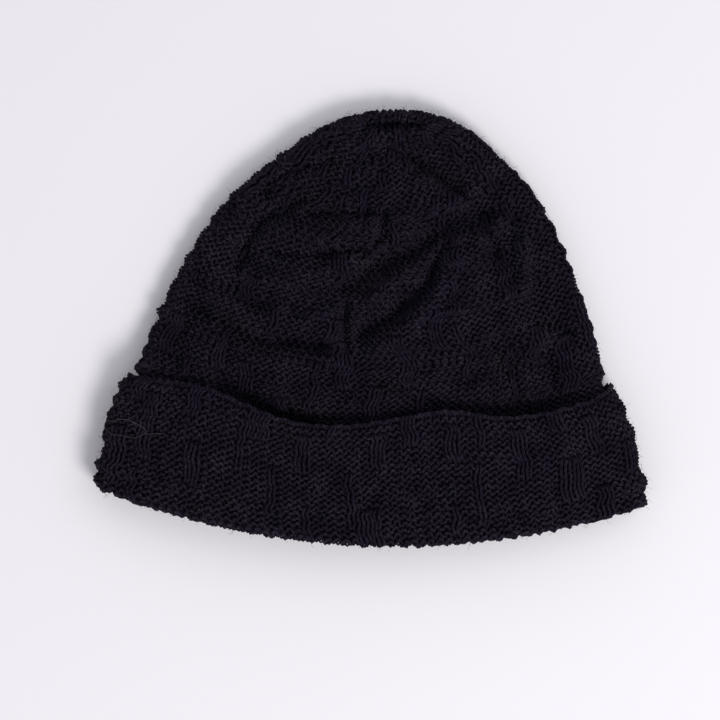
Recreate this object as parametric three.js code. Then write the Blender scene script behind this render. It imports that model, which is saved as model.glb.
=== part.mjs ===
// A knit beanie with a turned-up cuff, lying flattened on its back.
//
// +X runs across the brim, +Y runs from the brim to the crown, +Z leaves the surface it lies on.
// The hat is one knitted tube, gathered at the crown by a drawn yarn and turned back on itself at the
// brim. Its walls are separate solids here, so that the space for the head stays open between them.
// The tube under the cuff keeps one section all the way down, so the cuff can be let down along it.
//
// All lengths are in millimetres. "Depth" is measured from the top of the crown towards the brim.
import * as THREE from 'three';

// Fabric
const FABRIC = 2.8;                 // thickness of one knitted layer
const GAP = 0.35;                   // clearance between neighbouring solids
const YARN_RADIUS = 1.4;            // the doubled yarn of the cast-on edge and of the drawn closure

// Crown outline: half width = sqrt(depth) * (CROWN_SPREAD - CROWN_TAPER * depth)
const CROWN_SPREAD = 11.55;
const CROWN_TAPER = 0.0165;
const CROWN_LEAN = 10.5;            // how far the crown leans to the right of the brim
const LEAN_DEPTH = 160;             // depth at which the lean has died out
const GATHER_DEPTH = 7;             // length of the gathered tip of the crown
const PUCKER_RADIUS = 5.5;          // the drawn yarn's ring before it is pulled flat
const PUCKER_STRETCH = 2.2;         // across the crown
const PUCKER_SQUEEZE = 0.35;        // along the crown
const CROWN_DEPTH = 116;            // depth of the crown at its sides, down to the cuff

// Cuff and the tube under it, measured at the sides
const CUFF_TOP = 117;
const CUFF_BOTTOM = 164;            // where the brim's fold begins
const CUFF_TOP_HALF_WIDTH = 107.8;
const CUFF_BOTTOM_HALF_WIDTH = 121;
const TUBE_HALF_WIDTH = 102.8;
const TUBE_BOTTOM = 161;

// Courses sag towards the brim: the middle of each course lies deeper than its ends
const CUFF_TOP_SAG = 18;
const CUFF_BOTTOM_SAG = 24;

// Heights above the surface
const TUBE_FLOOR = FABRIC + 1;      // underside of the tube where the cuff's back layer lies under it
const SIDE_RADIUS = 6.5;            // rounding of the folded sides
const CROWN_ARCH = 8.5;             // rise of the front wall from its sides to its middle
const TIP_FULLNESS = 0.35;          // share of that rise left at the tip
const CUFF_CLEARANCE = 0.7;         // between the tube and the cuff around it
const TUBE_SIDE_RADIUS = 5.5;       // the same rounding inside the cuff
const RAMP_DEPTH = 14;              // length over which the back wall climbs onto the cuff's back layer

// Mesh divisions
const ACROSS = 14;                  // across a front or back wall
const ROUND = 5;                    // around a folded side
const CROWN_STEPS = 9;              // down the crown
const CUFF_STEPS = 3;               // down the cuff and the tube behind it
const YARN_SIDES = 8;
const RING_STEPS = 20;
const EDGE_STEPS = 20;              // along an edge, through EDGE_POINTS points
const EDGE_POINTS = 9;
const EDGE_END = 0.02;              // share of the wall left free at each end of an edge

const WOOL = 0x131217;
const KNIT_ROUGHNESS = 0.95;
const YARN_ROUGHNESS = 0.85;

// ---------------------------------------------------------------------------------------- outline

const mix = (from, to, share) => from + (to - from) * share;
const smooth = (share) => share * share * (3 - 2 * share);
const clamp01 = (value) => Math.min(Math.max(value, 0), 1);

function crownHalfWidth(depth) {
  return Math.sqrt(depth) * (CROWN_SPREAD - CROWN_TAPER * depth);
}

function centreLine(depth) {
  const share = clamp01(1 - depth / LEAN_DEPTH);
  return CROWN_LEAN * share * share;
}

function crownSag(depth) {
  return CUFF_TOP_SAG * smooth(clamp01(depth / CUFF_TOP));
}

// ------------------------------------------------------------------- cross-sections along the hat

// Each row of a layer is a flattened loop: a flat back, two round sides and an arched front.
function crownRow(depth) {
  const climb = smooth(clamp01((depth - CROWN_DEPTH + RAMP_DEPTH) / RAMP_DEPTH));
  const fullness = smooth(clamp01(2 * depth / CROWN_DEPTH));
  return {
    depth,
    sag: crownSag(depth),
    halfWidth: crownHalfWidth(depth),
    floor: climb * TUBE_FLOOR,
    radius: mix(SIDE_RADIUS, TUBE_SIDE_RADIUS, climb),
    arch: CROWN_ARCH * mix(TIP_FULLNESS, 1, fullness),
  };
}

function tubeRow(depth) {
  const share = (depth - CUFF_TOP) / (TUBE_BOTTOM - CUFF_TOP);
  return {
    depth,
    sag: mix(CUFF_TOP_SAG, CUFF_BOTTOM_SAG, share),
    halfWidth: TUBE_HALF_WIDTH,
    floor: TUBE_FLOOR,
    radius: TUBE_SIDE_RADIUS,
    arch: CROWN_ARCH,
  };
}

function cuffRow(depth) {
  const share = (depth - CUFF_TOP) / (CUFF_BOTTOM - CUFF_TOP);
  const top = TUBE_FLOOR + 2 * TUBE_SIDE_RADIUS + CUFF_CLEARANCE + FABRIC;
  return {
    depth,
    sag: mix(CUFF_TOP_SAG, CUFF_BOTTOM_SAG, share),
    halfWidth: mix(CUFF_TOP_HALF_WIDTH, CUFF_BOTTOM_HALF_WIDTH, share),
    floor: 0,
    radius: top / 2,
    arch: CROWN_ARCH,
  };
}

// Places a point of a row: "across" is its sideways distance from the row's centre line.
function place(row, across, height) {
  const share = across / row.halfWidth;
  const down = row.depth + row.sag * (1 - share * share);
  return new THREE.Vector3(centreLine(row.depth) + across, -down, height);
}

// The three kinds of wall. "along" runs from 0 to 1 over the wall's width, "inset" into the fabric.
function frontWall(row, along, inset) {
  const span = row.halfWidth - row.radius;
  const across = mix(-1, 1, along) * (span - GAP);
  const rise = 1 - (across / span) ** 2;
  const height = row.floor + 2 * row.radius + row.arch * rise * rise - inset;
  return place(row, across, height);
}

function backWall(row, along, inset) {
  const span = row.halfWidth - row.radius - GAP;
  return place(row, mix(-1, 1, along) * span, row.floor + inset);
}

const sideWall = (side) => (row, along, inset) => {
  const angle = mix(-Math.PI / 2, Math.PI / 2, along);
  const across = row.halfWidth - row.radius + (row.radius - inset) * Math.cos(angle);
  return place(row, side * across, row.floor + row.radius + (row.radius - inset) * Math.sin(angle));
};

// ------------------------------------------------------------------------------------ solid makers

function signedVolume(positions, triangles) {
  const corner = (index) => new THREE.Vector3().fromArray(positions, 3 * index);
  let volume = 0;
  for (let i = 0; i < triangles.length; i += 3) {
    const [a, b, c] = [corner(triangles[i]), corner(triangles[i + 1]), corner(triangles[i + 2])];
    volume += a.dot(b.cross(c)) / 6;
  }
  return volume;
}

function closedGeometry(points, triangles) {
  const positions = points.flatMap((point) => point.toArray());
  if (signedVolume(positions, triangles) < 0) {
    triangles.reverse();
  }
  const geometry = new THREE.BufferGeometry();
  geometry.setAttribute('position', new THREE.Float32BufferAttribute(positions, 3));
  geometry.setIndex(triangles);
  geometry.computeVertexNormals();
  return geometry;
}

// A curved slab: a grid of points on the outer face, the same grid inset by the fabric, and a rim.
function slab(rows, wall, across) {
  const columns = across + 1;
  const points = [];
  for (const inset of [0, FABRIC]) {
    for (const row of rows) {
      for (let i = 0; i <= across; i += 1) {
        points.push(wall(row, i / across, inset));
      }
    }
  }
  const layer = rows.length * columns;
  const triangles = [];
  const quad = (a, b, c, d) => triangles.push(a, b, c, a, c, d);
  for (let j = 0; j + 1 < rows.length; j += 1) {
    for (let i = 0; i < across; i += 1) {
      const at = j * columns + i;
      quad(at, at + 1, at + columns + 1, at + columns);
      quad(layer + at, layer + at + columns, layer + at + columns + 1, layer + at + 1);
    }
  }
  const rim = [];
  for (let i = 0; i < across; i += 1) rim.push(i);
  for (let j = 0; j + 1 < rows.length; j += 1) rim.push(j * columns + across);
  for (let i = across; i > 0; i -= 1) rim.push((rows.length - 1) * columns + i);
  for (let j = rows.length - 1; j > 0; j -= 1) rim.push(j * columns);
  rim.forEach((a, k) => {
    const b = rim[(k + 1) % rim.length];
    quad(a, layer + a, layer + b, b);
  });
  return closedGeometry(points, triangles);
}

function rowsBetween(makeRow, top, bottom, steps) {
  return Array.from({ length: steps + 1 }, (_, j) => makeRow(mix(top, bottom, j / steps)));
}

function yarnAlong(points, radius, steps) {
  const section = new THREE.Shape();
  section.absarc(0, 0, radius, 0, 2 * Math.PI, false);
  return new THREE.ExtrudeGeometry(section, {
    extrudePath: new THREE.CatmullRomCurve3(points),
    steps,
    curveSegments: YARN_SIDES / 2,
  });
}

function piece(name, geometry, roughness = KNIT_ROUGHNESS) {
  const material = new THREE.MeshStandardMaterial({ color: WOOL, roughness, metalness: 0 });
  const mesh = new THREE.Mesh(geometry, material);
  mesh.name = name;
  return mesh;
}

// A run of the tube or cuff, as its front wall, back wall and two folded sides.
function fourWalls(prefix, rows) {
  return [
    piece(`${prefix}_front`, slab(rows, frontWall, ACROSS)),
    piece(`${prefix}_back`, slab(rows, backWall, ACROSS)),
    piece(`${prefix}_side_left`, slab(rows, sideWall(-1), ROUND)),
    piece(`${prefix}_side_right`, slab(rows, sideWall(1), ROUND)),
  ];
}

// ------------------------------------------------------------------------------------- sub-parts

// Crown: from the gathered tip down to the cuff.
function crown() {
  return fourWalls('crown', rowsBetween(crownRow, GATHER_DEPTH, CROWN_DEPTH, CROWN_STEPS));
}

// The rest of the body tube, which runs on behind the cuff down to the brim's fold.
function bodyTube() {
  return fourWalls('body_tube', rowsBetween(tubeRow, CUFF_TOP, TUBE_BOTTOM, CUFF_STEPS));
}

// The gathered tip: a lens-shaped pad of last rounds drawn together, closing the top of the crown.
function crownGather() {
  const base = crownRow(GATHER_DEPTH);
  const reach = base.halfWidth - base.radius;
  const shape = new THREE.Shape();
  shape.moveTo(-reach - base.radius, 0);
  shape.bezierCurveTo(-reach, GATHER_DEPTH, -reach / 3, GATHER_DEPTH, 0, GATHER_DEPTH);
  shape.bezierCurveTo(reach / 3, GATHER_DEPTH, reach, GATHER_DEPTH, reach + base.radius, 0);
  shape.closePath();
  const bevel = SIDE_RADIUS / 3;
  const geometry = new THREE.ExtrudeGeometry(shape, {
    depth: 2 * SIDE_RADIUS - 2 * bevel,
    bevelEnabled: true,
    bevelThickness: bevel,
    bevelSize: bevel,
    bevelOffset: -bevel,
    bevelSegments: 2,
    curveSegments: 6,
  });
  geometry.translate(centreLine(GATHER_DEPTH), GAP - GATHER_DEPTH - base.sag, bevel);
  return piece('crown_gather', geometry);
}

// The yarn drawn through the last stitches: a ring pulled flat, lying in the pucker on the front.
function closingYarn() {
  const ring = new THREE.TorusGeometry(PUCKER_RADIUS, YARN_RADIUS, YARN_SIDES, RING_STEPS);
  ring.scale(PUCKER_STRETCH, PUCKER_SQUEEZE, 1);
  const { sag } = crownRow(GATHER_DEPTH);
  const height = 2 * SIDE_RADIUS + YARN_RADIUS + GAP;
  ring.translate(centreLine(GATHER_DEPTH), -GATHER_DEPTH / 2 - sag, height);
  return piece('closing_yarn', ring, YARN_ROUGHNESS);
}

// Cuff: the brim turned up over the tube.
function cuff() {
  const rows = rowsBetween(cuffRow, CUFF_TOP + 2 * (YARN_RADIUS + GAP), CUFF_BOTTOM, CUFF_STEPS);
  return fourWalls('cuff', rows);
}

// A round bead along a row of the front or back wall, its middle "inset" below the outer face.
function edgeBead(name, row, wall, inset, radius) {
  const points = Array.from({ length: EDGE_POINTS }, (_, i) => {
    const point = wall(row, mix(EDGE_END, 1 - EDGE_END, i / (EDGE_POINTS - 1)), inset);
    point.y -= radius + GAP;
    return point;
  });
  return piece(name, yarnAlong(points, radius, EDGE_STEPS));
}

// The cast-on edge, the first row knitted, is the free upper edge of the cuff.
function castOnEdge() {
  const row = cuffRow(CUFF_TOP);
  return [
    edgeBead('cast_on_edge_front', row, frontWall, YARN_RADIUS, YARN_RADIUS),
    edgeBead('cast_on_edge_back', row, backWall, YARN_RADIUS, YARN_RADIUS),
  ];
}

// The brim's fold, where the tube turns back on itself to become the cuff: a roll two layers thick.
function brimFold() {
  const row = cuffRow(CUFF_BOTTOM);
  return [
    edgeBead('brim_fold_front', row, frontWall, FABRIC, FABRIC),
    edgeBead('brim_fold_back', row, backWall, FABRIC, FABRIC),
  ];
}

// ------------------------------------------------------------------------------------------ hat

const hat = new THREE.Group();
hat.add(...crown(), crownGather(), closingYarn(), ...bodyTube());
hat.add(...cuff(), ...castOnEdge(), ...brimFold());

// The origin is the middle of the hat's outline, on the surface it lies on.
const bounds = new THREE.Box3().setFromObject(hat);
const middle = bounds.getCenter(new THREE.Vector3());
hat.position.set(-middle.x, -middle.y, -bounds.min.z);

export default hat;
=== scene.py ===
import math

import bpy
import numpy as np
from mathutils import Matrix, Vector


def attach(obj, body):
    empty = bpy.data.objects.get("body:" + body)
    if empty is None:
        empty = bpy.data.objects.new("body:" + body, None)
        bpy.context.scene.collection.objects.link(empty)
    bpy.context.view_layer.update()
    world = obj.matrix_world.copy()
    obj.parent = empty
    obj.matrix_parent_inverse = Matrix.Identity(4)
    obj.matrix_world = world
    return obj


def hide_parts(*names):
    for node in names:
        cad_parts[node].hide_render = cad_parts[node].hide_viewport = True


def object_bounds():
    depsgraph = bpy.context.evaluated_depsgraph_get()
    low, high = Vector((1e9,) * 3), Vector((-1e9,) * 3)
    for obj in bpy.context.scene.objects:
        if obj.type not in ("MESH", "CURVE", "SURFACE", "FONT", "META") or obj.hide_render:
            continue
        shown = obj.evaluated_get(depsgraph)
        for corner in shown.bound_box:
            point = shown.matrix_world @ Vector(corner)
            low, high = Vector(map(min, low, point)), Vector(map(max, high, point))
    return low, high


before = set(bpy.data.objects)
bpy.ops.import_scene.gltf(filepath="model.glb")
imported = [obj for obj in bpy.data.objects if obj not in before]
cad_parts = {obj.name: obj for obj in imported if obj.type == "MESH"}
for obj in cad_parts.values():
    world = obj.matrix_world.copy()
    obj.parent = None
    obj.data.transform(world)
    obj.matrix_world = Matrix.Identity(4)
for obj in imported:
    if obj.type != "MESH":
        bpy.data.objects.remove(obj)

# A black knitted beanie lying flat on its back. The fabric is built stitch by stitch: every course of
# knitting is one yarn that loops round the hat, and the surfaces below say where each stitch lies.
# The design is in millimetres, and a mesh is scaled to metres when it is made.
# "depth" is measured from the top of the crown towards the brim, along -Y.
# "q" runs across the hat, from -1 at its left side to 1 at its right side.
# "row" counts courses of knitting, and "around" is a fraction of the way round the hat.

cad_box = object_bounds()

MM = 0.001
TOP = cad_box[1].y / MM                 # y of the top of the crown

# ------------------------------------------------------------------------------------ driving sizes

# Outline of the crown: (square root of the depth, half width)
CROWN_OUTLINE = [(0.0, 0.0), (2.7, 29.2), (4.5, 47.2), (6.3, 67.5), (7.7, 79.8), (10.0, 97.2),
                 (10.95, 103.0)]
OUTLINE_END = 120.0                     # depth down to which the outline is drawn
OUTLINE_SAMPLES = 1200

# The hat lies a little askew: its middle drifts to the right at the top and to the left at the cuff.
TOP_LEAN = 11.0
TOP_LEAN_ENDS = 120.0
CUFF_LEAN = -0.4
CUFF_LEAN_DEPTH = 150.0                 # where the cuff leans by just that much
CUFF_LEAN_SETS_IN = (95.0, 125.0)       # between these depths
CUFF_DRIFT = 0.015                      # of the cuff's middle to the right, for each mm down
SKEW = 0.031                            # turn of the cuff, in radians: its right end lies lower

# Courses and stitches
CLOSE_DEPTH = 7.0                       # depth of the closing line on the front
CLOSE_HALF_WIDTH = 14.0                 # half length of the closing line
CROWN_ROWS = 53                         # from the closing line to the cuff's upper edge
TUBE_ROWS = 19                          # from there down to the brim, behind the cuff
CUFF_ROWS = 20                          # from the fold up to the cast-on edge
LIP_ROWS = 2                            # rows of the fold that turn in behind the tube
STITCHES = 120                          # stitches round the hat below the crown's decreases
CUFF_STITCHES = 132                     # the cuff is stretched wider
STITCH_WIDTH = 3.55                     # narrowest a crown stitch gets before one is decreased
SECTORS = 8                             # decreases lie in lines between these sectors
FEWEST_IN_SECTOR = 2

# The pattern: one narrow rib of knit stitches in each repeat of a purl ground
REPEAT_STITCHES = 4
REPEAT_ROWS = 12
RIB_STITCHES = 2                        # widest and tallest that a rib gets
RIB_ROWS = 11
RIB_SHORTEST = 0.4                      # shortest that a rib gets, as a share of the tallest
RIB_SHARE = 0.8                         # of the repeats that have a rib
SCATTER = (12.99, 78.23, 37.7, 43758.5)  # multipliers so unlike that a sine of them looks random

# Yarn
YARN_RADIUS = 0.70
YARN_FLATNESS = 0.86                    # thickness of the yarn over its width
YARN_UNEVENNESS = 0.06                  # spread of the yarn's radius, as a share of it
YARN_POINTS = 10                        # points along a stitch
YARN_SIDES = 5
PLIES = 2
PLY_LENGTH = 2.4                        # length of yarn in which a ply goes half way round
LOOP_HEIGHT = 0.80                      # half height of a loop, in rows
LOOP_WAIST = 0.10                       # how far a loop's legs bow out, in stitches
LOOP_DEPTH = 0.95                       # half of how far a loop's legs stand off its head
HEIGHT_SPREAD = 0.07                    # spreads of a loop's height and waist, as shares of them
WAIST_SPREAD = 0.12
PLACE_SPREAD = 0.09                     # spread of a loop's place off the fabric
TURN_TO_NEXT = 0.62                     # share of half a stitch after which it bends to its neighbour
RIB_RELIEF = 0.05                       # how far ribs stand off the purl ground
RIM_FLATNESS = 0.45                     # share of the relief left where the fabric turns over
RIM_FACING = 0.7                        # it turns over where its normal's z is less than this
KNIT_SHADE = 0.85                       # painted shade: knit ribs are shaded this much darker than the purl ground
GROUND_DEPTH = 0.9                      # of the shell under the loops, which is painted dark as the shade in the gaps

# Loose fibres
FIBRE_RADIUS = 0.045
FIBRE_ROOT = 1.1                        # how far off the fabric's middle a fibre starts
FIBRE_REACH = 2.6                       # length of the longest
FIBRE_SHORTEST = 0.4                    # as a share of the longest
FIBRE_FACING = -0.2                     # none stand where the fabric faces the table
BODY_FIBRES = 3500
CUFF_FIBRES = 2200
FIRST_FUZZY_ROW = 2.0
FIBRE_POINTS = 5
FIBRE_SIDES = 3
FIBRE_LEAST_RISE = 0.3                  # share of its length that a fibre stands up at least
FIBRE_LEAN = 0.5                        # and shares that it leans and curls
FIBRE_CURL = 0.5

# The cord on the cuff's edge: two strands, twisted once for each stitch
CORD_ROW = CUFF_ROWS + 0.1
CORD_RADIUS = 0.55                      # from the cord's middle to a strand's
STRAND_RADIUS = 0.55
CORD_POINTS = 20                        # for each twist

# The end of the yarn, whipped over the closing line
WHIP_TURNS = 8
WHIP_POINTS = 16                        # for each turn
WHIP_RADIUS = 1.1
WHIP_FLATNESS = 0.7
WHIP_ENDS = (0.03, 0.47)                # where it starts and stops, as fractions round the hat
WHIP_TIP = 0.02                         # its tips are cut this far back, as a share of its length
WHIP_TAPER = 4.0                        # and it is full a quarter of its length from a tip

# Pale threads caught on the cuff, as paths of (around, row)
THREADS = [
    [(0.006, 12.0), (0.020, 13.1), (0.034, 13.4), (0.046, 12.2), (0.042, 11.0), (0.026, 10.6),
     (0.005, 10.9)],
    [(0.046, 11.6), (0.056, 12.1), (0.064, 12.5)],
]
THREAD_RADIUS = 0.10
THREAD_HEIGHT = 1.5                     # off the fabric's middle
THREAD_POINTS = 6                       # for each point of its path

# The body: heights are of the fabric's middle above the table
CROWN_SIDE_DEPTH = 117.0                # where the crown ends and the tube begins, at the sides
CROWN_MIDDLE_DEPTH = 135.0              # and at the middle
TUBE_HALF_WIDTH = 101.6
TUBE_BOTTOM = 162.0
TUBE_SAG = 24.0                         # how much lower the brim hangs at its middle
TUBE_FLOOR = 6.4                        # height of the back layer inside the cuff
BACK_HEIGHT = 2.2                       # height of the back layer where it lies on the table
SIDE_RADIUS = 5.2
CROWN_ARCH = 6.4
TUBE_ARCH = 4.8                         # the tube lies flatter, with room for the cuff round it
ARCH_REACH = 55.0                       # the arch is full this far in from a side
RIM_TURN = 9.0                          # extra length of the back, where it rounds the crown's top
CLOSE_RIM = 16.0                        # length of the crown's side that the closing line pulls in
TIP_ROUNDNESS = 0.62                    # power that rounds off the first courses' ends
BACK_SLACK = 0.25                       # unevenness of the back layer, and how far across its lumps are
BACK_SLACK_SIZE = 30.0

# Where one shape passes into the next, as shares of the way down the crown
TIP_ENDS = 0.45
BUMPS_SET_IN = 0.2
OUTLINE_TO_SIDE = (0.55, 0.85)
FLOOR_TO_TUBE = (0.86, 0.98)
SIDE_TO_TUBE = (0.95, 1.0)
FOLDS_TO_TUBE = (0.97, 1.05)

# The cuff
FOLD_RADIUS = 2.2                       # of the brim's fold, from between the two layers
CUFF_BOTTOM_DEPTH = 170.8               # of the fold, at the sides
CUFF_BOTTOM_SAG = 19.8
CUFF_BOTTOM_HALF = 117.8                # half widths between the two layers
CUFF_NARROWING = 12.4
NARROWING_POWER = 1.7                   # the cuff narrows faster towards its upper edge
EDGE_DRAW = 1.5                         # how far the cast-on edge draws in
EDGE_DRAW_FROM = 0.9                    # share of the way up the cuff where that begins
CUFF_FLOOR = 4.4                        # height between the two layers at the back
CUFF_SIDE_RADIUS = 6.6
CUFF_ARCH = 6.6
CUFF_SLACK = 0.7                        # lumpiness of the cuff against the crown's
CUFF_LIFT = 0.4                         # of the upper edge off the crown
GAPE_LIFT = 3.0                         # and how much more where it gapes
ROW_STEP = 2.5                          # length of a cuff row, measured up the fabric
HEM_WAVE = 0.55                         # waviness of the brim's fold, and the length of its waves
HEM_WAVE_LENGTH = 8.0
SIDE_SWAY = 0.5                         # waviness of the cuff's sides, and its length in rows
SIDE_SWAY_ROWS = 9.0

# How far in from a side the folds, the tuck under the cuff and the cuff's slack are full
FOLDS_EASE = 10.0
TUCK_EASE = 12.0
CUFF_EASE = 14.0

# The slack in the fabric: (size of its lumps across, height)
LUMPS = [(34.0, 1.1), (14.0, 0.8), (8.0, 0.5)]

# How far the stitches' bumps stand out of the outline, left and right
SIDE_BUMP = {-1.0: 1.05, 1.0: 0.6}
SIDE_BUMP_FROM = 0.75                   # the q where they begin
SIDE_BUMP_ROWS = 3.0

# Waves that make up a repeatable waviness: how many, and the spread of their lengths
PAGE_WAVES = (9, 0.7, 1.5)
LINE_WAVES = (4, 0.7, 1.4)

# Seeds of what is uneven
YARN_SEED = 7
CROWN_LUMPS_SEED = 3
BACK_SLACK_SEED = 8
BODY_SIDE_SEED = 21
HEM_SEED = 31
CUFF_SIDE_SEED = 41
SIDE_SWAY_SEED = 43
CUFF_LUMPS_SEED = 51
CUFF_EDGE_SEED = 61

AROUND = 720                            # samples round the hat in a surface grid
GROUND_SAMPLES = 360
ROW_SAMPLE = 0.5                        # rows between samples
RUN_OUT_SAMPLES = 40                    # along the closing line's end, and down the crown's side
SIDE_SAMPLES = 400
INSIDE_LAST_ROW = 0.001                 # keeps what is looked up just short of a grid's last row
TINY = 1e-9                             # keeps a vector of no length from dividing by zero

rng = np.random.default_rng(YARN_SEED)


# --------------------------------------------------------------------------------- small functions

def smooth(x):
    """0 up to x = 0, 1 from x = 1 on, and smooth between."""
    x = np.clip(x, 0.0, 1.0)
    return x * x * (3.0 - 2.0 * x)


def ramp(x, start, end):
    """0 at start and before it, 1 at end and past it, and smooth between."""
    return smooth((x - start) / (end - start))


def mix(a, b, share):
    return a + (b - a) * share


def bump(x, centre, width):
    return np.exp(-((x - centre) / width) ** 2)


def curve_through(points, x):
    """A smooth curve through a few (place, value) points."""
    places, values = np.array(points, dtype=float).T
    slopes = np.gradient(values, places)
    k = np.clip(np.searchsorted(places, x, side="right") - 1, 0, len(places) - 2)
    span = places[k + 1] - places[k]
    t = np.clip((x - places[k]) / span, 0.0, 1.0)
    rise = smooth(t)
    leaving = slopes[k] * span * t * (1.0 - t) ** 2
    arriving = slopes[k + 1] * span * t * t * (1.0 - t)
    return mix(values[k], values[k + 1], rise) + leaving - arriving


def undulation(x, y, scale, seed):
    """A gentle, repeatable waviness over the page, between about -1 and 1."""
    waves = np.random.default_rng(seed)
    total = np.zeros(np.shape(x))
    count, shortest, longest = PAGE_WAVES
    for _ in range(count):
        heading = waves.uniform(0.0, 2.0 * math.pi)
        length = scale * waves.uniform(shortest, longest)
        phase = waves.uniform(0.0, 2.0 * math.pi)
        along = x * math.cos(heading) + y * math.sin(heading)
        total += np.sin(along * 2.0 * math.pi / length + phase)
    return total / math.sqrt(count)


def lumps(x, y, seed):
    return sum(height * undulation(x, y, across, seed + k) for k, (across, height) in enumerate(LUMPS))


def ripple(along, length, seed):
    """Uneven bumps along a line, between about -1 and 1."""
    waves = np.random.default_rng(seed)
    total = 0.0
    count, shortest, longest = LINE_WAVES
    for _ in range(count):
        phase = waves.uniform(0.0, 2.0 * math.pi)
        wave_length = length * waves.uniform(shortest, longest)
        total = total + np.sin(along * 2.0 * math.pi / wave_length + phase)
    return total / math.sqrt(count)


def crown_half_width(depth):
    return curve_through(CROWN_OUTLINE, np.sqrt(np.maximum(depth, 0.0)))


OUTLINE_DEPTHS = np.linspace(0.0, OUTLINE_END, OUTLINE_SAMPLES)
OUTLINE_WIDTHS = crown_half_width(OUTLINE_DEPTHS)
OUTLINE_SLOPES = np.gradient(OUTLINE_DEPTHS, OUTLINE_WIDTHS)


def outline_depth(x):
    """Depth of the crown's outline at a sideways distance x from its centre line."""
    return np.interp(np.abs(x), OUTLINE_WIDTHS, OUTLINE_DEPTHS)


def centre_line(depth):
    """How far right of the frame's middle the hat's centre lies."""
    at_top = TOP_LEAN * np.clip(1.0 - depth / TOP_LEAN_ENDS, 0.0, 1.0) ** 2
    at_cuff = CUFF_LEAN + CUFF_DRIFT * (depth - CUFF_LEAN_DEPTH)
    return at_top + at_cuff * ramp(depth, *CUFF_LEAN_SETS_IN)


def to_page(x, depth, z):
    """Millimetre points in the frame's axes."""
    return np.stack([x + centre_line(depth), TOP - depth, z], axis=-1)


# ------------------------------------------------------------------------------- creases and lifts

# Valleys pressed into the front of the crown: (points along the valley as x, y; depth; half width)
VALLEYS = [
    ([(9, 80), (24, 71), (42, 57)], 9.0, 2.2),
    ([(46, 52), (28, 42), (17, 33), (2, 28), (-11, 19)], 12.0, 4.2),
    ([(50, 50), (36, 42), (28, 31), (26, 20), (10, 7), (-5, -2)], 9.5, 2.7),
    ([(47, 48), (52, 41), (55, 32)], 8.0, 2.4),
    ([(38, 48), (34, 36)], 6.0, 2.2),
    ([(20, 40), (8, 38), (3, 50)], 6.0, 2.4),
    ([(-31, 57), (-46, 48), (-54, 39), (-58, 28)], 7.0, 2.6),
    ([(-60, 20), (-56, 14), (-48, 10)], 5.0, 2.6),
    ([(-77, 10), (-64, 4), (-53, -4), (-38, -5), (-20, -7)], 10.0, 2.8),
    ([(-11, 12), (-12, 2), (-11, -8)], 9.0, 2.2),
    ([(-42, 33), (-22, 33), (1, 35)], 6.4, 1.9),
    ([(-27, 50), (-10, 51), (6, 50)], 6.0, 2.0),
    ([(6, 50), (4, 40), (-6, 30)], 6.6, 2.2),
    ([(-46, 62), (-34, 70), (-18, 74)], 4.6, 2.4),
    ([(54, -10), (60, -20), (64, -30)], 6.0, 4.0),
    ([(72, 2), (80, 3), (88, -1)], 5.6, 2.2),
    ([(78, -12), (80, -24)], 4.4, 2.8),
    ([(30, -8), (44, -4)], 3.6, 2.6),
]
# Rounded folds that stand up between the valleys: (points, height, half width)
RIDGES = [
    ([(66, 38), (67, 28), (66, 17)], 4.4, 3.0),
    ([(-44, 42), (-22, 42), (-2, 43)], 3.2, 4.6),
    ([(-44, 24), (-24, 22), (-12, 24)], 2.6, 5.0),
    ([(-70, 16), (-48, 4), (-30, 3), (-18, 8)], 3.2, 3.6),
    ([(-74, -2), (-52, -13), (-20, -15)], 3.0, 4.4),
    ([(0, 13), (12, 22), (24, 32), (38, 40)], 4.0, 2.8),
    ([(56, 46), (44, 36), (34, 24), (20, 4), (2, -10)], 4.6, 4.4),
    ([(44, 60), (24, 50), (12, 40), (-6, 30)], 3.2, 4.0),
    ([(14, 68), (28, 62), (44, 52)], 2.8, 4.0),
    ([(-80, -14), (-62, -20), (-38, -24)], 2.0, 5.0),
    ([(62, 6), (76, -5), (88, -9)], 2.6, 4.6),
]
FOLD_LIMIT = 10.5                       # where creases cross, they press in no deeper than this
SHOULDER_WIDTH = 3.2                    # a crease also dips the fabric beside it, this many times wider
SHOULDER_SHARE = 0.28
PUCKER_DEPTH = 6.5                      # of the line where the closing yarn draws the crown in
PUCKER_WIDTH = 2.4
PUCKER_FADES = (18.0, 10.0)             # distances from its middle where it is gone and full
TUCK_DEPTH = 1.6                        # how far the crown dips where it runs under the cuff
GAPE_TUCK = 6.0                         # and how much more where the cuff gapes
TUCK_PLACE = -1.0                       # the deepest place, above the cuff's edge
TUCK_WIDTH = 7.5


def distance_to(path, x, y):
    """Distance from points to a path of straight runs."""
    best = np.full(np.shape(x), np.inf)
    for (ax, ay), (bx, by) in zip(path, path[1:]):
        length = (bx - ax) ** 2 + (by - ay) ** 2
        along = np.clip(((x - ax) * (bx - ax) + (y - ay) * (by - ay)) / length, 0.0, 1.0)
        best = np.minimum(best, np.hypot(x - ax - along * (bx - ax), y - ay - along * (by - ay)))
    return best


def crown_folds(x, y):
    """Height that the creases and the slack in the fabric add to the crown's front."""
    height = lumps(x, y, CROWN_LUMPS_SEED)
    dip = np.zeros(np.shape(x))
    for path, depth, width in VALLEYS:
        away = distance_to(path, x, y)
        crease = (1.0 - SHOULDER_SHARE) * bump(away, 0.0, width)
        shoulder = SHOULDER_SHARE * bump(away, 0.0, width * SHOULDER_WIDTH)
        dip = np.maximum(dip, depth * (crease + shoulder))
    height -= dip
    for path, rise, width in RIDGES:
        height += rise * bump(distance_to(path, x, y), 0.0, width)
    return np.where(height < 0.0, FOLD_LIMIT * np.tanh(height / FOLD_LIMIT), height)


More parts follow.
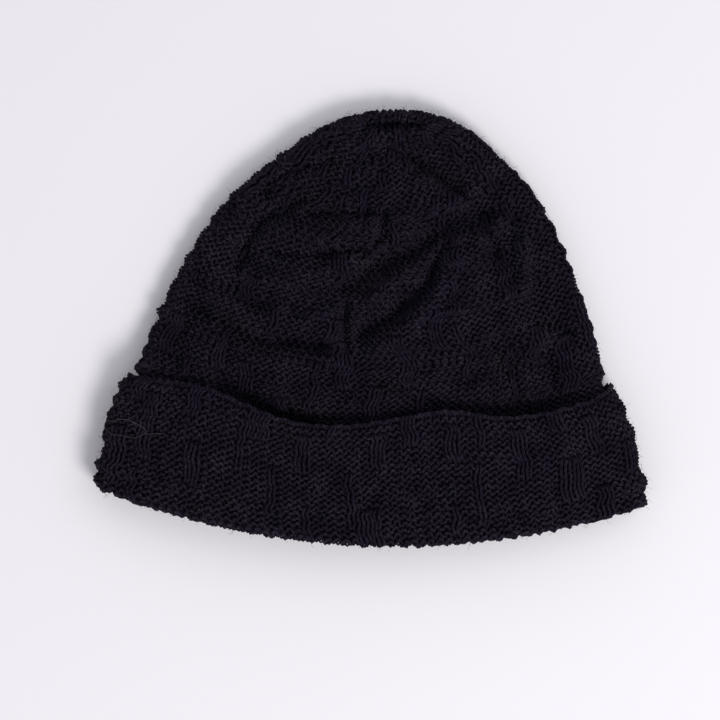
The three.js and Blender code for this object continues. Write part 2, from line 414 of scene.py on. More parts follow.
# The cuff's upper edge on the front: (q, depth). On the back it is an even curve between the same ends.
FRONT_EDGE = [(-1.0, 117.6), (-0.85, 120.0), (-0.67, 123.0), (-0.51, 130.2), (-0.38, 135.9),
              (-0.12, 139.6), (0.14, 135.8), (0.30, 133.2), (0.56, 135.8), (0.82, 131.4),
              (0.95, 126.4), (1.0, 122.0)]
BACK_EDGE_SAG = 15.0
EDGE_RIPPLE = 0.35
EDGE_RIPPLE_LENGTH = 0.06               # in q

# Where that edge gapes from the crown: (q, half width in q, how much)
GAPES = [(-0.42, 0.26, 1.0), (0.68, 0.2, 0.9), (0.33, 0.15, 0.4)]


def front_edge(q):
    return curve_through(FRONT_EDGE, q) + EDGE_RIPPLE * ripple(q, EDGE_RIPPLE_LENGTH, CUFF_EDGE_SEED)


def back_edge(q):
    left, right = FRONT_EDGE[0][1], FRONT_EDGE[-1][1]
    return mix(left, right, (q + 1.0) / 2.0) + BACK_EDGE_SAG * (1.0 - q * q)


def gape(q):
    """How far the cuff's upper edge gapes from the crown, from 0 to about 1."""
    return sum(size * bump(q, centre, width) for centre, width, size in GAPES)


# ---------------------------------------------------------------------------------------- the body

def crown_side_path():
    """Sideways distance and depth of the crown's side, from the closing line's end down to the cuff."""
    run_out = np.linspace(CLOSE_HALF_WIDTH, crown_half_width(CLOSE_DEPTH), RUN_OUT_SAMPLES)
    depths = np.linspace(CLOSE_DEPTH, CROWN_SIDE_DEPTH, SIDE_SAMPLES)
    x = np.concatenate([run_out[:-1], crown_half_width(depths)])
    depth = np.concatenate([np.full(len(run_out) - 1, CLOSE_DEPTH), depths])
    length = np.concatenate([[0.0], np.cumsum(np.hypot(np.diff(x), np.diff(depth)))])
    return x, depth, length


SIDE_X, SIDE_DEPTH, SIDE_LENGTH = crown_side_path()


def half_course():
    """The q of each sample across one layer, closer together towards the sides."""
    return np.sin(np.linspace(-0.5, 0.5, AROUND // 2 + 1) * math.pi)


def rounded(distance, radius):
    """Height of a quarter round of this radius, at a distance in from its rim."""
    part = np.clip(distance / radius, 0.0, 1.0)
    return radius * np.sqrt(np.maximum(1.0 - (1.0 - part) ** 2, 0.0))


def side_bumps(q, row, seed):
    """Sideways bumps of the hat's outline, which die out in from its sides."""
    total = np.zeros_like(q)
    for side, size in SIDE_BUMP.items():
        wave = float(ripple(row, SIDE_BUMP_ROWS, seed + int(side)))
        total += side * size * wave * ramp(q * side, SIDE_BUMP_FROM, 1.0)
    return total


def body_ring(row):
    """One closed course of the body as points in millimetres: front from left to right, then the back.

    Row 0 is the closing line, CROWN_ROWS the cuff's upper edge, CROWN_ROWS + TUBE_ROWS the brim.
    """
    share = row / CROWN_ROWS
    tube = max(0.0, (row - CROWN_ROWS) / TUBE_ROWS)
    at = min(share, 1.0) * SIDE_LENGTH[-1]
    side_x = float(np.interp(at, SIDE_LENGTH, SIDE_X))
    side_x = float(mix(side_x, TUBE_HALF_WIDTH, ramp(share, *SIDE_TO_TUBE)))
    side_depth = float(np.interp(at, SIDE_LENGTH, SIDE_DEPTH)) + tube * (TUBE_BOTTOM - CROWN_SIDE_DEPTH)
    start = float(np.clip(1.0 - at / CLOSE_RIM, 0.0, 1.0))
    overhang = start * (CLOSE_DEPTH - float(outline_depth(CLOSE_HALF_WIDTH)))

    q = half_course()
    roundness = float(mix(TIP_ROUNDNESS, 1.0, smooth(share / TIP_ENDS)))
    rise = np.maximum(1.0 - q * q, 0.0) ** roundness
    halves = []
    for facing in (1.0, -1.0):
        x = q * side_x
        if tube > 0.0:
            sag = mix(CROWN_MIDDLE_DEPTH - CROWN_SIDE_DEPTH, TUBE_SAG, tube)
            depth = side_depth + sag * rise + tube * SKEW * x
            to_rim = side_x - np.abs(x)
            on_front = np.full(x.shape, facing > 0.0)
        else:
            close = facing * CLOSE_DEPTH
            turn = RIM_TURN * (1.0 - share) * share if facing < 0.0 else 0.0
            middle = mix(close, CROWN_MIDDLE_DEPTH, share) - turn
            end = side_depth if start == 0.0 else float(outline_depth(side_x)) + facing * overhang
            edge = outline_depth(x)
            past_rim = facing * (end + (middle - end) * rise - edge)
            depth = edge + np.abs(past_rim)
            on_front = past_rim >= 0.0
            steep = np.interp(np.abs(x), OUTLINE_WIDTHS, OUTLINE_SLOPES)
            by_outline = np.abs(past_rim) / np.sqrt(1.0 + steep ** 2)
            to_rim = mix(by_outline, side_x - np.abs(x), float(ramp(share, *OUTLINE_TO_SIDE)))
        x = x + side_bumps(q, row, BODY_SIDE_SEED) * float(smooth(share / BUMPS_SET_IN) * (1.0 - tube))
        halves.append(body_height(x, depth, q, to_rim, on_front, share))
    front, back = halves
    return np.concatenate([front[:-1], back[::-1][:-1]])


def body_height(x, depth, q, to_rim, on_front, share):
    """Adds the heights of the front and back layers, which meet in a rounded rim."""
    floor = mix(BACK_HEIGHT, TUBE_FLOOR, float(ramp(share, *FLOOR_TO_TUBE)))
    middle = floor + SIDE_RADIUS
    swell = rounded(to_rim, SIDE_RADIUS)
    page = to_page(x, depth, np.zeros_like(x))
    across, up = page[..., 0], page[..., 1]
    free = float(1.0 - ramp(share, *FOLDS_TO_TUBE))
    folds = crown_folds(across, up) * smooth(to_rim / FOLDS_EASE) * free
    above_cuff = front_edge(q) - depth
    tuck = (TUCK_DEPTH + GAPE_TUCK * gape(q)) * bump(above_cuff, TUCK_PLACE, TUCK_WIDTH)
    tuck = tuck * smooth(to_rim / TUCK_EASE)
    pucker = PUCKER_DEPTH * bump(depth, CLOSE_DEPTH, PUCKER_WIDTH) * ramp(np.abs(x), *PUCKER_FADES)
    arch = mix(TUBE_ARCH, CROWN_ARCH, free) * smooth(to_rim / ARCH_REACH)
    front = middle + swell + arch + folds - tuck - pucker
    slack = BACK_SLACK * undulation(across, up, BACK_SLACK_SIZE, BACK_SLACK_SEED)
    back = middle - swell + np.abs(slack) * smooth(to_rim / FOLDS_EASE)
    page[..., 2] = np.where(on_front, front, back)
    return page


# ---------------------------------------------------------------------------------------- the cuff

def cuff_ring(row):
    """One closed course of the cuff: row 0 is the fold's lowest point, CUFF_ROWS the cast-on edge."""
    along = row * ROW_STEP
    quarter = FOLD_RADIUS * math.pi / 2
    if abs(along) < quarter:
        off = FOLD_RADIUS * math.sin(along / FOLD_RADIUS)
        back_up = FOLD_RADIUS * (1.0 - math.cos(along / FOLD_RADIUS))
    else:
        off = math.copysign(FOLD_RADIUS, along)
        back_up = FOLD_RADIUS + abs(along) - quarter
    share = back_up / (CUFF_ROWS * ROW_STEP - quarter + FOLD_RADIUS)

    q = half_course()
    drawn_in = EDGE_DRAW * float(ramp(share, EDGE_DRAW_FROM, 1.0))
    half = CUFF_BOTTOM_HALF - CUFF_NARROWING * share ** NARROWING_POWER + off - drawn_in
    x = q * half
    to_side = half - np.abs(x)
    bottom = CUFF_BOTTOM_DEPTH + CUFF_BOTTOM_SAG * (1.0 - q * q) + SKEW * x
    bottom = bottom + HEM_WAVE * ripple(x, HEM_WAVE_LENGTH, HEM_SEED)
    sway = SIDE_SWAY * ripple(row, SIDE_SWAY_ROWS, SIDE_SWAY_SEED) * q
    x = x + side_bumps(q, row, CUFF_SIDE_SEED) + sway
    middle = CUFF_FLOOR + CUFF_SIDE_RADIUS
    swell = rounded(to_side, CUFF_SIDE_RADIUS + off)

    front = to_page(x, mix(bottom, front_edge(q), share), np.zeros_like(x))
    waves = CUFF_SLACK * lumps(front[..., 0], front[..., 1], CUFF_LUMPS_SEED)
    lift = (CUFF_LIFT + GAPE_LIFT * gape(q)) * share ** 2
    arch = CUFF_ARCH * smooth(to_side / ARCH_REACH)
    front[..., 2] = middle + swell + arch + (waves + lift) * smooth(to_side / CUFF_EASE)
    back = to_page(x, mix(bottom, back_edge(q), share), middle - swell)
    return np.concatenate([front[:-1], back[::-1][:-1]])


# ------------------------------------------------------------------------------ surfaces as grids

def even_ring(points):
    """The ring resampled so that each half, front and back, is evenly divided by length."""
    half = AROUND // 2
    closed = np.vstack([points, points[:1]])
    result = []
    for start in (0, half):
        run = closed[start:start + half + 1]
        length = np.concatenate([[0.0], np.cumsum(np.linalg.norm(np.diff(run, axis=0), axis=1))])
        even = np.linspace(0.0, length[-1], half + 1)[:-1]
        result.append(np.stack([np.interp(even, length, run[:, k]) for k in range(3)], axis=1))
    return np.vstack(result)


def unit(vectors):
    return vectors / np.maximum(np.linalg.norm(vectors, axis=-1, keepdims=True), TINY)


class Surface:
    """A grid of points round the hat (columns) and along it (rows), with its outward normals."""

    def __init__(self, ring, first, last, rows_run_to_brim):
        self.first = first
        count = int(round((last - first) / ROW_SAMPLE)) + 1
        self.points = np.array([even_ring(ring(first + ROW_SAMPLE * k)) for k in range(count)])
        around = np.roll(self.points, -1, axis=1) - np.roll(self.points, 1, axis=1)
        along = np.gradient(self.points, axis=0)
        outward = np.cross(along, around) if rows_run_to_brim else np.cross(around, along)
        self.normals = unit(outward)

    def at(self, around, row):
        """Points and normals at fractions round the hat (0 to 1) and rows."""
        u = np.mod(around, 1.0) * AROUND
        last = len(self.points) - 1 - INSIDE_LAST_ROW
        v = np.clip((row - self.first) / ROW_SAMPLE, 0.0, last)
        i, j = np.floor(u).astype(int) % AROUND, np.floor(v).astype(int)
        beside = (i + 1) % AROUND
        fu, fv = (u - np.floor(u))[..., None], (v - j)[..., None]
        found = []
        for grid in (self.points, self.normals):
            low = mix(grid[j, i], grid[j, beside], fu)
            high = mix(grid[j + 1, i], grid[j + 1, beside], fu)
            found.append(mix(low, high, fv))
        return found[0], unit(found[1])

    def girth(self, row):
        points = self.at(np.linspace(0.0, 1.0, AROUND, endpoint=False), np.full(AROUND, float(row)))[0]
        return float(np.linalg.norm(np.roll(points, -1, axis=0) - points, axis=1).sum())


# --------------------------------------------------------------------------------- yarn and meshes

def mesh_object(name, points, faces, ply_map=None):
    """A mesh of quads from arrays, in metres. ply_map is the UV map that the yarn's material reads."""
    mesh = bpy.data.meshes.new(name)
    mesh.vertices.add(len(points))
    mesh.vertices.foreach_set("co", (points * MM).astype(np.float32).ravel())
    mesh.loops.add(faces.size)
    mesh.loops.foreach_set("vertex_index", faces.astype(np.int32).ravel())
    mesh.polygons.add(len(faces))
    mesh.polygons.foreach_set("loop_start", np.arange(0, faces.size, faces.shape[1], dtype=np.int32))
    mesh.polygons.foreach_set("use_smooth", np.ones(len(faces), dtype=bool))
    if ply_map is not None:
        mesh.uv_layers.new(name="Ply").data.foreach_set("uv", ply_map.astype(np.float32).ravel())
    mesh.update(calc_edges=True)
    mesh.validate()
    obj = bpy.data.objects.new(name, mesh)
    bpy.context.scene.collection.objects.link(obj)
    return obj


def yarn_tube(centre, normal, radius, sides=YARN_SIDES, closed=True):
    """Rings of points round a yarn's centre line, and how far along the yarn each ring lies."""
    if closed:
        tangent = np.roll(centre, -1, axis=0) - np.roll(centre, 1, axis=0)
    else:
        tangent = np.gradient(centre, axis=0)
    tangent = unit(tangent)
    side = unit(np.cross(tangent, normal))
    up = np.cross(side, tangent)
    angles = (np.arange(sides) / sides * 2.0 + 0.5) * math.pi
    radius = np.broadcast_to(radius, (len(centre),))[:, None, None]
    rings = (centre[:, None, :]
             + radius * np.cos(angles)[None, :, None] * side[:, None, :]
             + radius * YARN_FLATNESS * np.sin(angles)[None, :, None] * up[:, None, :])
    steps = np.linalg.norm(np.diff(np.vstack([centre, centre[:1]]), axis=0), axis=1)
    return rings, np.concatenate([[0.0], np.cumsum(steps)])


class YarnMesh:
    """Collects yarns into one mesh object."""

    def __init__(self):
        self.points, self.faces, self.ply = [], [], []
        self.count = 0

    def add(self, tube, proud=0.0, closed=True):
        """A yarn. proud says how far each ring stands off the fabric, from which the material paints
        shade: darker where deeper.
        """
        rings, lengths = tube
        m, n = rings.shape[:2]
        start = np.arange(m if closed else m - 1)[:, None]
        side = np.arange(n)[None, :]
        wrapped = (start + 1) % m
        turned = (side + 1) % n
        proud = np.broadcast_to(proud, (m,))
        faces, ply = [], []
        for step, turn in ((0, 0), (1, 0), (1, 1), (0, 1)):
            ring = wrapped if step else start
            faces.append(self.count + ring * n + (turned if turn else side))
            twist = lengths[start + step] / PLY_LENGTH + PLIES * (side + turn) / n
            ply.append(np.stack(np.broadcast_arrays(twist, proud[ring]), axis=-1))
        self.faces.append(np.stack(faces, axis=-1).reshape(-1, 4))
        self.ply.append(np.stack(ply, axis=2).reshape(-1, 2))
        self.points.append(rings.reshape(-1, 3))
        self.count += m * n

    def finish(self, name):
        arrays = (np.concatenate(part) for part in (self.points, self.faces, self.ply))
        return mesh_object(name, *arrays)


# ---------------------------------------------------------------------------------------- knitting

def scatter(column, band, salt):
    """A repeatable number from 0 to 1 for each repeat of the pattern."""
    by_column, by_band, by_salt, size = SCATTER
    return np.mod(np.sin(column * by_column + band * by_band + salt * by_salt) * size, 1.0)


def stitch_sign(stitch, row, count):
    """1 for a knit stitch and -1 for a purl one: narrow knit ribs in a purl ground."""
    place = stitch * STITCHES / count
    column = np.floor(place / REPEAT_STITCHES)
    dropped = row + REPEAT_ROWS / 2 * np.mod(column, 2)
    band = np.floor(dropped / REPEAT_ROWS)
    wide = 1 + np.floor(scatter(column, band, 1) * RIB_STITCHES)
    tall = RIB_ROWS * mix(RIB_SHORTEST, 1.0, scatter(column, band, 2))
    across = np.mod(place, REPEAT_STITCHES) - scatter(column, band, 3) * (REPEAT_STITCHES - wide)
    up = np.mod(dropped, REPEAT_ROWS)
    knit = (across >= 0.0) & (across < wide) & (up < tall) & (scatter(column, band, 4) < RIB_SHARE)
    return np.where(knit, 1.0, -1.0)


def decreased(girth):
    """How many stitches a course of this girth holds: whole numbers per sector."""
    per_sector = int(round(girth / STITCH_WIDTH / SECTORS))
    return min(STITCHES // SECTORS, max(FEWEST_IN_SECTOR, per_sector)) * SECTORS


def rim_ease(normals):
    """How much of its relief the fabric keeps: less where it turns over at the sides."""
    return mix(RIM_FLATNESS, 1.0, smooth(np.abs(normals[:, 2]) / RIM_FACING))


def course(surface, row, count, heads_up, sign):
    """The centre line and normals of one course's looping yarn, and how proud it stands, which sets its
    painted shade.

    t runs from -pi to pi along a stitch, with the loop's head at 0. sign is 1 where a stitch is knit.
    """
    t = ((np.arange(YARN_POINTS) / YARN_POINTS - 0.5) * 2.0 * math.pi)[None, :]
    stitch = np.arange(count)[:, None]
    here, after, before = sign[:, None], np.roll(sign, -1)[:, None], np.roll(sign, 1)[:, None]
    toward = ramp(np.abs(t) / math.pi, TURN_TO_NEXT, 1.0) / 2.0
    face = here + np.where(t > 0.0, after - here, before - here) * toward
    waist_jitter, height_jitter, place_jitter = rng.normal(0.0, 1.0, (3, count, 1))
    waist = LOOP_WAIST * (1.0 + WAIST_SPREAD * waist_jitter)
    height = LOOP_HEIGHT * (1.0 + HEIGHT_SPREAD * height_jitter)
    across = t / (2.0 * math.pi) + waist * np.sin(2.0 * t)
    lift = height * np.cos(t)
    around = ((stitch + 0.5 + across) / count).ravel()
    rows = (row + (-lift if heads_up else lift)).ravel()
    sunk = 2.0 * np.cos(t) ** 4 - 1.0       # 1 at a knit loop's head and feet, -1 at its legs
    off = (-face * LOOP_DEPTH * sunk + RIB_RELIEF * face + PLACE_SPREAD * place_jitter).ravel()
    points, normals = surface.at(around, rows)
    eased = off * rim_ease(normals)
    # Painted shade: lower values paint a loop darker, so its deep parts and knit stitches are shaded
    # darker.
    proud = off - (KNIT_SHADE * face).ravel()
    return points + normals * eased[:, None], normals, proud


def knit_piece(name, surface, courses, heads_up):
    """A band of knitting as one object. Each course is (row, how many stitches, row of the pattern)."""
    yarns = YarnMesh()
    for row, count, pattern_row in courses:
        sign = stitch_sign(np.arange(count), pattern_row, count)
        centre, normals, proud = course(surface, row, count, heads_up, sign)
        radius = YARN_RADIUS * (1.0 + YARN_UNEVENNESS * rng.normal(0.0, 1.0, len(centre)))
        yarns.add(yarn_tube(centre, normals, radius), proud)
    return yarns.finish(name)


def twisted_cord(name, surface, row, turns):
    """Two strands twisted round each other along one row of a surface."""
    yarns = YarnMesh()
    count = turns * CORD_POINTS
    around = np.arange(count) / count
    middle, normals = surface.at(around, np.full(count, float(row)))
    tangent = unit(np.roll(middle, -1, axis=0) - np.roll(middle, 1, axis=0))
    side = np.cross(tangent, normals)
    for strand in range(PLIES):
        angle = (around * turns + strand / PLIES) * 2.0 * math.pi
        outward = normals * np.cos(angle)[:, None] + side * np.sin(angle)[:, None]
        yarns.add(yarn_tube(middle + outward * CORD_RADIUS, outward, STRAND_RADIUS))
    return yarns.finish(name)


def closing_whipstitch(name, surface):
    """The end of the yarn, whipped along the line that closes the crown."""
    yarns = YarnMesh()
    count = WHIP_TURNS * WHIP_POINTS
    middle, normals = surface.at(np.linspace(*WHIP_ENDS, count), np.zeros(count))
    angle = np.linspace(0.0, WHIP_TURNS * 2.0 * math.pi, count)
    tangent = unit(np.gradient(middle, axis=0))
    side = np.cross(tangent, normals)
    outward = normals * np.cos(angle)[:, None] * WHIP_FLATNESS + side * np.sin(angle)[:, None]
    from_start = np.linspace(WHIP_TIP, 1.0, count)
    taper = np.minimum(1.0, WHIP_TAPER * np.minimum(from_start, from_start[::-1]))
    tube = yarn_tube(middle + outward * WHIP_RADIUS, outward, YARN_RADIUS * taper, closed=False)
    yarns.add(tube, closed=False)
    return yarns.finish(name)


def ground(name, surface, rows):
    """A thin shell just under the loops that closes the gaps between them, painted darker than the wool
    as the shade in those gaps.
    """
    around = np.linspace(0.0, 1.0, GROUND_SAMPLES, endpoint=False)
    levels = np.arange(rows[0], rows[1] + ROW_SAMPLE)      # one ring to a row, the last one included
    rings = []
    for level in levels:
        points, normals = surface.at(around, np.full(GROUND_SAMPLES, level))
        rings.append(points - normals * (GROUND_DEPTH * rim_ease(normals))[:, None])
    start = np.arange(GROUND_SAMPLES)[None, :]
    after = (start + 1) % GROUND_SAMPLES
    low = np.arange(len(levels) - 1)[:, None] * GROUND_SAMPLES
    high = low + GROUND_SAMPLES
    faces = np.stack([low + start, low + after, high + after, high + start], axis=-1).reshape(-1, 4)
    return mesh_object(name, np.concatenate(rings), faces)


def fuzz(name, surface, rows, count):
    """Short loose fibres standing off the yarn."""
    yarns = YarnMesh()
    around = rng.uniform(0.0, 1.0, count)
    row = rng.uniform(rows[0], rows[1], count)
    base, normals = surface.at(around, row)
    steps = np.linspace(0.0, 1.0, FIBRE_POINTS)[:, None]
    for k in np.flatnonzero(normals[:, 2] > FIBRE_FACING):
        lean = np.cross(normals[k], rng.normal(0.0, 1.0, 3)) * FIBRE_LEAN
        curl = np.cross(normals[k], rng.normal(0.0, 1.0, 3))
        length = FIBRE_REACH * rng.uniform(FIBRE_SHORTEST, 1.0)
        heading = normals[k] * rng.uniform(FIBRE_LEAST_RISE, 1.0) + lean
        path = base[k] + normals[k] * FIBRE_ROOT
        path = path + length * (steps * heading + steps ** 2 * curl * FIBRE_CURL)
        facing = np.tile(unit(curl), (FIBRE_POINTS, 1))
        yarns.add(yarn_tube(path, facing, FIBRE_RADIUS, FIBRE_SIDES, closed=False), closed=False)
    return yarns.finish(name)


def loose_thread(name, surface, paths):
    """Fine threads lying on a surface. Each path holds (around, row) points."""
    yarns = YarnMesh()
    for path in paths:
        t = np.linspace(0.0, len(path) - 1.0, len(path) * THREAD_POINTS)
        around, row = (curve_through(list(enumerate(values)), t) for values in zip(*path))
        points, normals = surface.at(around, row)
        tube = yarn_tube(points + normals * THREAD_HEIGHT, normals, THREAD_RADIUS, closed=False)
        yarns.add(tube, closed=False)
    return yarns.finish(name)


# --------------------------------------------------------------------------------------- materials

# Each wool: a cool and a warm black, and the shades that its flecks of fibre run between.
# A colour is linear red, green and blue, and alpha.
WOOLS = {
    "crown_wool": ((0.0085, 0.0076, 0.0114, 1.0), (0.0105, 0.0090, 0.0109, 1.0), (0.45, 1.7)),
    "cuff_wool": ((0.0094, 0.0085, 0.0124, 1.0), (0.0114, 0.0097, 0.0117, 1.0), (0.45, 1.7)),
    "edge_wool": ((0.0100, 0.0090, 0.0132, 1.0), (0.0123, 0.0105, 0.0124, 1.0), (0.1, 2.1)),
}
DYE = (0.0018, 0.0003, 0.0055, 1.0)     # deep violet, which shows where the fibres are darkest
# The shell under the loops: darker than the wool, as painted shade in the gaps between them.
GAP_SHADE_TINTS = ((0.0020, 0.0010, 0.0042, 1.0), (0.0040, 0.0026, 0.0070, 1.0))
PALE_THREAD = ((0.03, 0.027, 0.035, 1.0), (0.09, 0.085, 0.10, 1.0))
PALE_CARD = ((0.80, 0.785, 0.815, 1.0), (0.82, 0.805, 0.83, 1.0))

# Noise through a piece: (features in a metre, detail)
PATCHES = (45.0, 3.0)
MOTTLE = (110.0, 2.0)
FIBRES = (700.0, 4.0)
NOISE_SPAN = (0.33, 0.67)               # what noise mostly keeps within

MOTTLE_SHADES = (0.65, 1.35)
DEPTH_SHADE_SPAN = (-LOOP_DEPTH, LOOP_DEPTH)   # how far a stitch lies proud, and the painted shades that this gives it: darker where deeper
PAINTED_DEPTH_SHADES = (0.35, 1.35)
GROOVE_SHADE_SHARE = 0.5                      # how strongly the painted shade in the grooves between the plies shows
PLY_WAVES = math.pi / 10.0              # scale at which a wave texture has one wave to a ply


def add_node(tree, kind, inputs, **settings):
    """A shader node. inputs holds a constant or another node's output for each socket."""
    node = tree.nodes.new(kind)
    for name, value in settings.items():
        setattr(node, name, value)
    for socket, value in inputs.items():
        if isinstance(value, bpy.types.NodeSocket):
            tree.links.new(value, node.inputs[socket])
        else:
            node.inputs[socket].default_value = value
    return node


def new_material(name, roughness, specular):
    material = bpy.data.materials.new(name)
    material.use_nodes = True
    shader = material.node_tree.nodes["Principled BSDF"]
    shader.inputs["Roughness"].default_value = roughness
    shader.inputs["Specular IOR Level"].default_value = specular
    return material, material.node_tree, shader


def noise(tree, scale, detail):
    """Noise through the piece, whose scale is in features per metre."""
    where = add_node(tree, "ShaderNodeTexCoord", {}).outputs["Object"]
    inputs = {"Vector": where, "Scale": scale, "Detail": detail}
    return add_node(tree, "ShaderNodeTexNoise", inputs).outputs["Fac"]


def graded(tree, value, shades, span=NOISE_SPAN):
    """A value spread out, so that its span runs from the first shade to the last."""
    inputs = {"Value": value, "From Min": span[0], "From Max": span[1]}
    inputs.update({"To Min": shades[0], "To Max": shades[1]})
    return add_node(tree, "ShaderNodeMapRange", inputs).outputs["Result"]


def blended(tree, kind, factor, a, b):
    inputs = {"Factor": factor, "A": a, "B": b}
    node = add_node(tree, "ShaderNodeMix", inputs, data_type="RGBA", blend_type=kind)
    return node.outputs["Result"]


def wool(name, cool, warm, flecks):
    """Black wool: two blacks in soft patches, painted shade in the grooves between the plies and where
    loops lie deep, and flecks of fibre.
    """
    material, tree, shader = new_material(name, roughness=0.8, specular=0.06)
    shader.inputs["Sheen Weight"].default_value = 0.02
    shader.inputs["Sheen Roughness"].default_value = 0.5
    ply_map = add_node(tree, "ShaderNodeUVMap", {}, uv_map="Ply").outputs["UV"]
    proud = add_node(tree, "ShaderNodeSeparateXYZ", {"Vector": ply_map}).outputs["Y"]
    wave = {"Vector": ply_map, "Scale": PLY_WAVES}
    plies = add_node(tree, "ShaderNodeTexWave", wave).outputs["Fac"]
    fibres = noise(tree, *FIBRES)
    patches = graded(tree, noise(tree, *PATCHES), (0.0, 1.0))
    tint = blended(tree, "MIX", patches, cool, warm)
    for share, shade in (
        (1.0, graded(tree, noise(tree, *MOTTLE), MOTTLE_SHADES)),
        (1.0, graded(tree, fibres, flecks)),
        # Painted shade in the grooves between the plies.
        (GROOVE_SHADE_SHARE, plies),
        # Painted shade: darker where a loop lies deep in the fabric, and on knit ribs.
        (1.0, graded(tree, proud, PAINTED_DEPTH_SHADES, DEPTH_SHADE_SPAN)),
    ):
        tint = blended(tree, "MULTIPLY", share, tint, shade)
    tint = blended(tree, "ADD", 1.0, tint, DYE)
    tree.links.new(tint, shader.inputs["Base Color"])
    height = add_node(tree, "ShaderNodeMath", {0: plies, 1: fibres}, operation="ADD").outputs["Value"]
    inputs = {"Strength": 0.8, "Distance": 0.2 * MM, "Height": height}
    tree.links.new(add_node(tree, "ShaderNodeBump", inputs).outputs["Normal"], shader.inputs["Normal"])
    return material


def mottled(name, tints, scale, detail, roughness, specular):
    """A matt material of two close colours, mixed by noise."""
    material, tree, shader = new_material(name, roughness, specular)
    tint = blended(tree, "MIX", noise(tree, scale, detail), *tints)
    tree.links.new(tint, shader.inputs["Base Color"])
    return material


# ------------------------------------------------------------------------------------------- build

body_surface = Surface(body_ring, 0.0, CROWN_ROWS + TUBE_ROWS, rows_run_to_brim=True)
cuff_surface = Surface(cuff_ring, -LIP_ROWS - 1.0, CUFF_ROWS + 1.0, rows_run_to_brim=False)

crown_wool, cuff_wool, edge_wool = (wool(name, *look) for name, look in WOOLS.items())
# Painted shade for the gaps between the loops: a dark material for the shell under them.
gap_shade_wool = mottled("gap_shade_wool", GAP_SHADE_TINTS, scale=900.0, detail=3.0, roughness=0.95, specular=0.02)


def finish_piece(obj, body, material, nodes):
    obj.data.materials.append(material)
    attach(obj, body)
    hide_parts(*nodes)


def body_course(row):
    """(row, how many stitches, row of the pattern). The pattern's rows count up from the brim."""
    return row, decreased(body_surface.girth(row)), CROWN_ROWS + TUBE_ROWS - row


CROWN_NODES = ("crown_front", "crown_back", "crown_side_left", "crown_side_right")
TUBE_NODES = ("body_tube_front", "body_tube_back", "body_tube_side_left", "body_tube_side_right")
CUFF_NODES = ("cuff_front", "cuff_back", "cuff_side_left", "cuff_side_right")
FOLD_NODES = ("brim_fold_front", "brim_fold_back")
EDGE_NODES = ("cast_on_edge_front", "cast_on_edge_back")

# Courses at which one piece ends and the next begins
TIP_END, CROWN_UPPER_END, CROWN_MIDDLE_END = 14, 28, 41
TUBE_UPPER_END = CROWN_ROWS + 10
FOLD_END, CUFF_LOWER_END = 8, 15

body_courses = [body_course(row + 0.5) for row in range(CROWN_ROWS + TUBE_ROWS)]
for name, courses, nodes in (
    ("knit_crown_tip", body_courses[:TIP_END], ("crown_gather",)),
    ("knit_crown_upper", body_courses[TIP_END:CROWN_UPPER_END], CROWN_NODES),
    ("knit_crown_middle", body_courses[CROWN_UPPER_END:CROWN_MIDDLE_END], CROWN_NODES),
    ("knit_crown_lower", body_courses[CROWN_MIDDLE_END:CROWN_ROWS], CROWN_NODES),
    ("knit_tube_upper", body_courses[CROWN_ROWS:TUBE_UPPER_END], TUBE_NODES),
    ("knit_tube_lower", body_courses[TUBE_UPPER_END:], TUBE_NODES),
):
    band = knit_piece(name, body_surface, courses, heads_up=True)
    finish_piece(band, "body", crown_wool, nodes)

cuff_courses = [(row + 0.5, CUFF_STITCHES, -row - 0.5) for row in range(-LIP_ROWS, CUFF_ROWS)]
for name, courses, nodes in (
    ("knit_brim_fold", cuff_courses[:FOLD_END], FOLD_NODES),
    ("knit_cuff_lower", cuff_courses[FOLD_END:CUFF_LOWER_END], CUFF_NODES),
    ("knit_cuff_upper", cuff_courses[CUFF_LOWER_END:], CUFF_NODES),
):
    band = knit_piece(name, cuff_surface, courses, heads_up=False)
    finish_piece(band, "cuff", cuff_wool, nodes)

edging = twisted_cord("edge_cord", cuff_surface, CORD_ROW, CUFF_STITCHES)
finish_piece(edging, "cuff", edge_wool, EDGE_NODES)

closing = closing_whipstitch("closing_stitches", body_surface)
finish_piece(closing, "body", edge_wool, ("closing_yarn",))

pale_thread = mottled("pale_thread", PALE_THREAD, scale=800.0, detail=2.0, roughness=0.7, specular=0.2)
threads = loose_thread("loose_thread", cuff_surface, THREADS)
finish_piece(threads, "cuff", pale_thread, EDGE_NODES)

# The shell under the loops carries painted shade for the gaps between them.
shell = ground("crown_gap_shade_shell", body_surface, (0.0, CROWN_ROWS + TUBE_ROWS))
finish_piece(shell, "body", gap_shade_wool, CROWN_NODES)
shell = ground("cuff_gap_shade_shell", cuff_surface, (-LIP_ROWS, CUFF_ROWS))
finish_piece(shell, "cuff", gap_shade_wool, CUFF_NODES)

fibres = fuzz("crown_fuzz", body_surface, (FIRST_FUZZY_ROW, CROWN_ROWS), BODY_FIBRES)
finish_piece(fibres, "body", edge_wool, CROWN_NODES)
fibres = fuzz("cuff_fuzz", cuff_surface, (0.0, CUFF_ROWS), CUFF_FIBRES)
finish_piece(fibres, "cuff", edge_wool, CUFF_NODES)

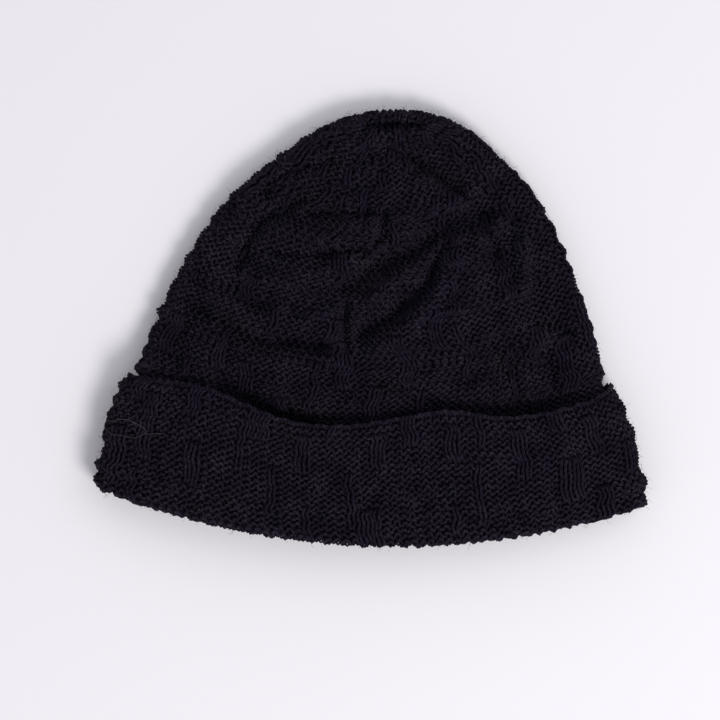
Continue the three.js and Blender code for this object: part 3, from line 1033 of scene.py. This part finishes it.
# ------------------------------------------------------------------------- floor, light and camera

TABLE_REACH = 3.0
corners = [(-1, -1), (1, -1), (1, 1), (-1, 1)]
mesh = bpy.data.meshes.new("table_top")
mesh.from_pydata([(x * TABLE_REACH, y * TABLE_REACH, 0.0) for x, y in corners], [], [(0, 1, 2, 3)])
table_top = bpy.data.objects.new("table_top", mesh)
bpy.context.scene.collection.objects.link(table_top)
pale_table = mottled("pale_table", PALE_CARD, scale=4.0, detail=2.0, roughness=0.75, specular=0.2)
table_top.data.materials.append(pale_table)


def area_light(name, place, size, energy, colour):
    """A round soft light, aimed at the hat."""
    data = bpy.data.lights.new(name, "AREA")
    data.shape = "DISK"
    data.size = size
    data.energy = energy
    data.color = colour
    lamp = bpy.data.objects.new(name, data)
    bpy.context.scene.collection.objects.link(lamp)
    lamp.location = place
    lamp.rotation_mode = "QUATERNION"
    lamp.rotation_quaternion = (-Vector(place)).to_track_quat("-Z", "Y")


area_light("key", (0.80, -1.09, 1.6), size=0.8, energy=25.0, colour=(1.0, 0.985, 0.97))
area_light("fill", (0.9, 0.4, 1.3), size=1.2, energy=4.0, colour=(0.92, 0.94, 1.0))

world = bpy.data.worlds.new("studio")
world.use_nodes = True
background = world.node_tree.nodes["Background"]
background.inputs["Color"].default_value = (0.95, 0.94, 1.0, 1.0)
background.inputs["Strength"].default_value = 0.6
bpy.context.scene.world = world
bpy.context.scene.view_settings.view_transform = "Standard"

# The camera looks straight down, from a little to the left of and below the frame's origin
CAMERA_PLACE = (-0.0050, -0.0132, 1.312)
VIEW_WIDTH = 0.3157                     # what the view takes in at the hat's height
VIEW_DISTANCE = 1.3                     # down to that height
SENSOR = 36.0
camera_data = bpy.data.cameras.new("camera")
camera_data.sensor_width = SENSOR
camera_data.lens = SENSOR * VIEW_DISTANCE / VIEW_WIDTH
camera = bpy.data.objects.new("camera", camera_data)
bpy.context.scene.collection.objects.link(camera)
camera.location = CAMERA_PLACE
bpy.context.scene.camera = camera

bpy.context.view_layer.update()
